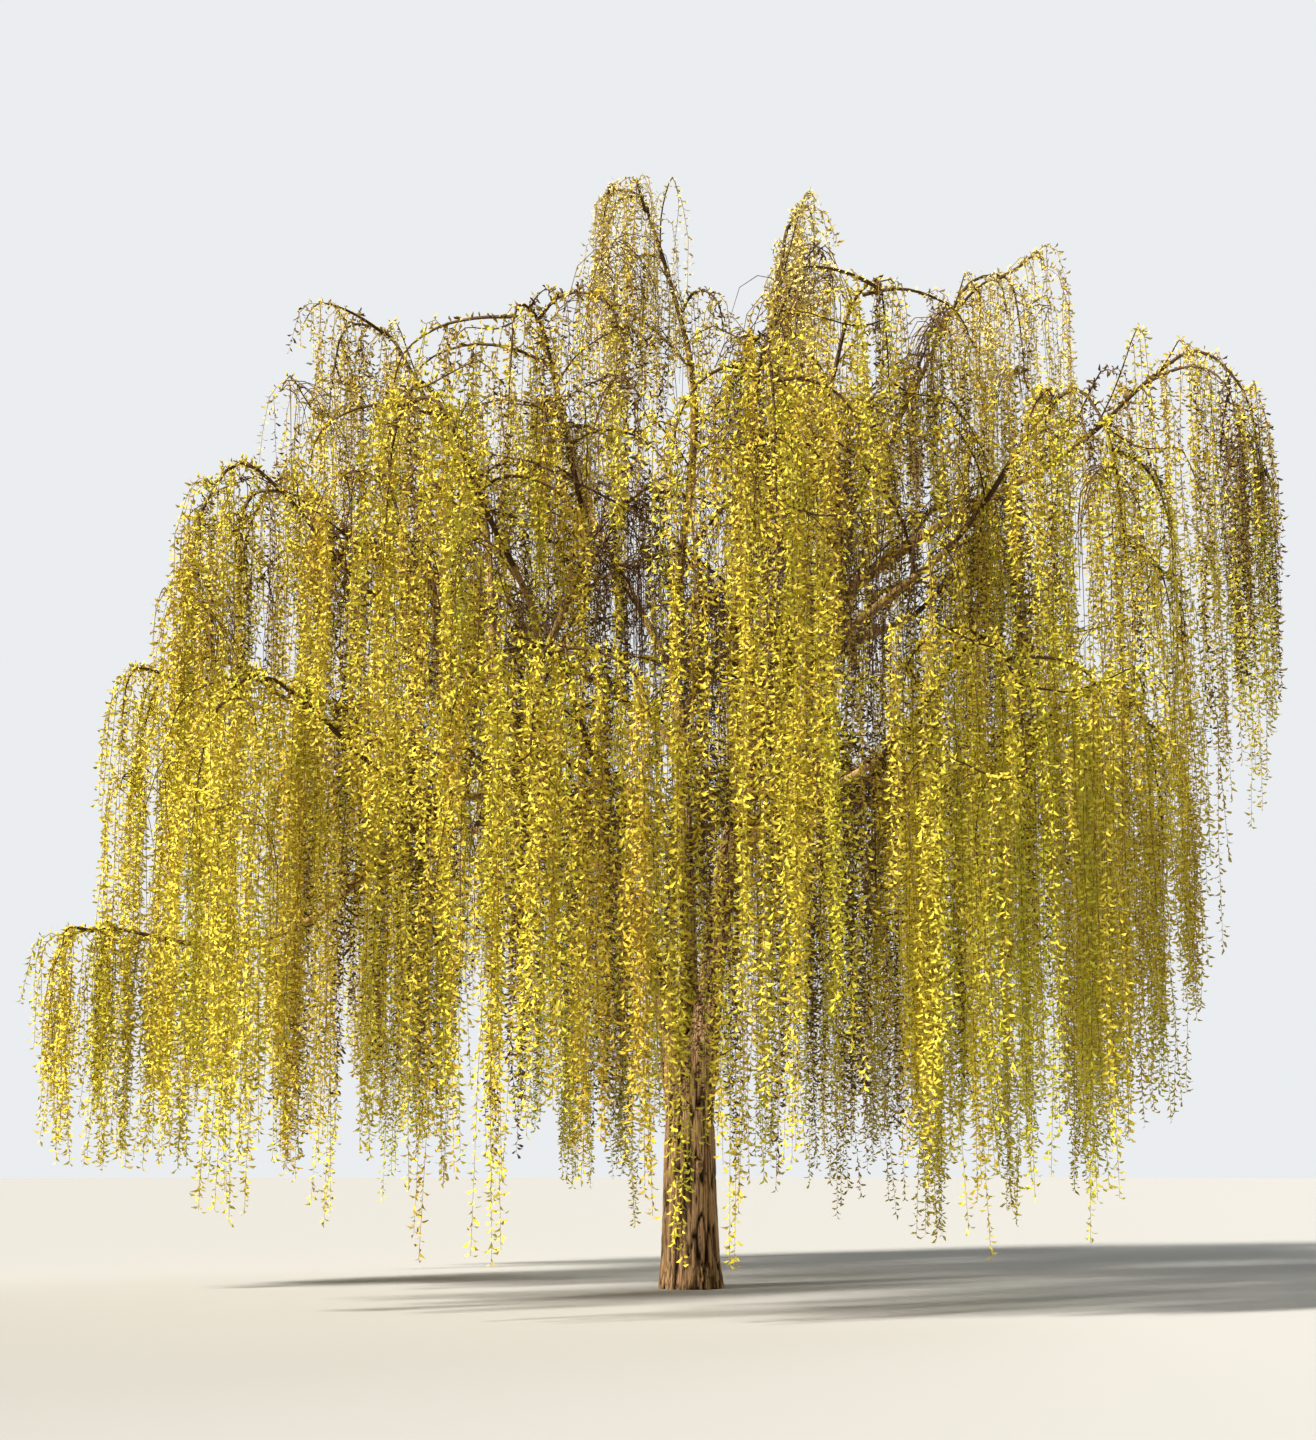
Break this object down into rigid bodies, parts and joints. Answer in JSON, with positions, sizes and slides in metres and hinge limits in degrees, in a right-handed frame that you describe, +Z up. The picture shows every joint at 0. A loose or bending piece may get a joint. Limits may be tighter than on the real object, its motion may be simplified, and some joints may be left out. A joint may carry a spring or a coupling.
{
  "type": "weeping willow tree",
  "caption": "Broad weeping willow in early spring: short forked trunk, arching boughs and long curtains of hanging yellow-green strands.",
  "frame": {"origin": "centre of the trunk's flat cut at ground level", "axes": "+Z up the trunk, +X to the tree's right as the picture shows it, -Y towards the picture's viewer"},
  "size_m": [15.8093, 14.5181, 14.6171],
  "materials": {
    "bark": "deeply furrowed matt grey-brown bark, smoother and more golden on the younger boughs",
    "foliage": "small narrow curled lemon-yellow to olive leaves and pale catkins on thin golden hanging twigs"
  },
  "bodies": {
    "root": {"trunk": "bark", "stem_right": "bark", "stem_left": "bark", "stem_middle": "bark", "bough_crown_leader": "bark", "bough_crown_peak": "bark", "bough_crown_right": "bark", "bough_crown_right_back": "bark", "bough_crown_left_back": "bark", "bough_crown_left": "bark", "bough_crown_left_front": "bark", "bough_crown_right_front": "bark", "bough_shoulder_right": "bark", "bough_shoulder_right_back": "bark", "bough_shoulder_back_right": "bark", "bough_shoulder_back_left": "bark", "bough_shoulder_left_back": "bark", "bough_shoulder_left_front": "bark", "bough_shoulder_front_left": "bark", "bough_shoulder_front_right": "bark", "bough_shoulder_right_front": "bark", "bough_skirt_right_back": "bark", "bough_skirt_back_right": "bark", "bough_skirt_back": "bark", "bough_skirt_left_back": "bark", "bough_skirt_left": "bark", "bough_skirt_left_front": "bark", "bough_skirt_front": "bark", "bough_skirt_right_front": "bark", "bough_skirt_right": "bark", "bough_low_left": "bark", "crown_leader": "foliage", "crown_peak": "foliage", "crown_right": "foliage", "crown_right_back": "foliage", "crown_left_back": "foliage", "crown_left": "foliage", "crown_left_front": "foliage", "crown_right_front": "foliage", "shoulder_right": "foliage", "shoulder_right_back": "foliage", "shoulder_back_right": "foliage", "shoulder_back_left": "foliage", "shoulder_left_back": "foliage", "shoulder_left_front": "foliage", "shoulder_front_left": "foliage", "shoulder_front_right": "foliage", "shoulder_right_front": "foliage", "skirt_right_back": "foliage", "skirt_back_right": "foliage", "skirt_back": "foliage", "skirt_left_back": "foliage", "skirt_left": "foliage", "skirt_left_front": "foliage", "skirt_front": "foliage", "skirt_right_front": "foliage", "skirt_right": "foliage", "low_left": "foliage"}
  },
  "joints": []
}
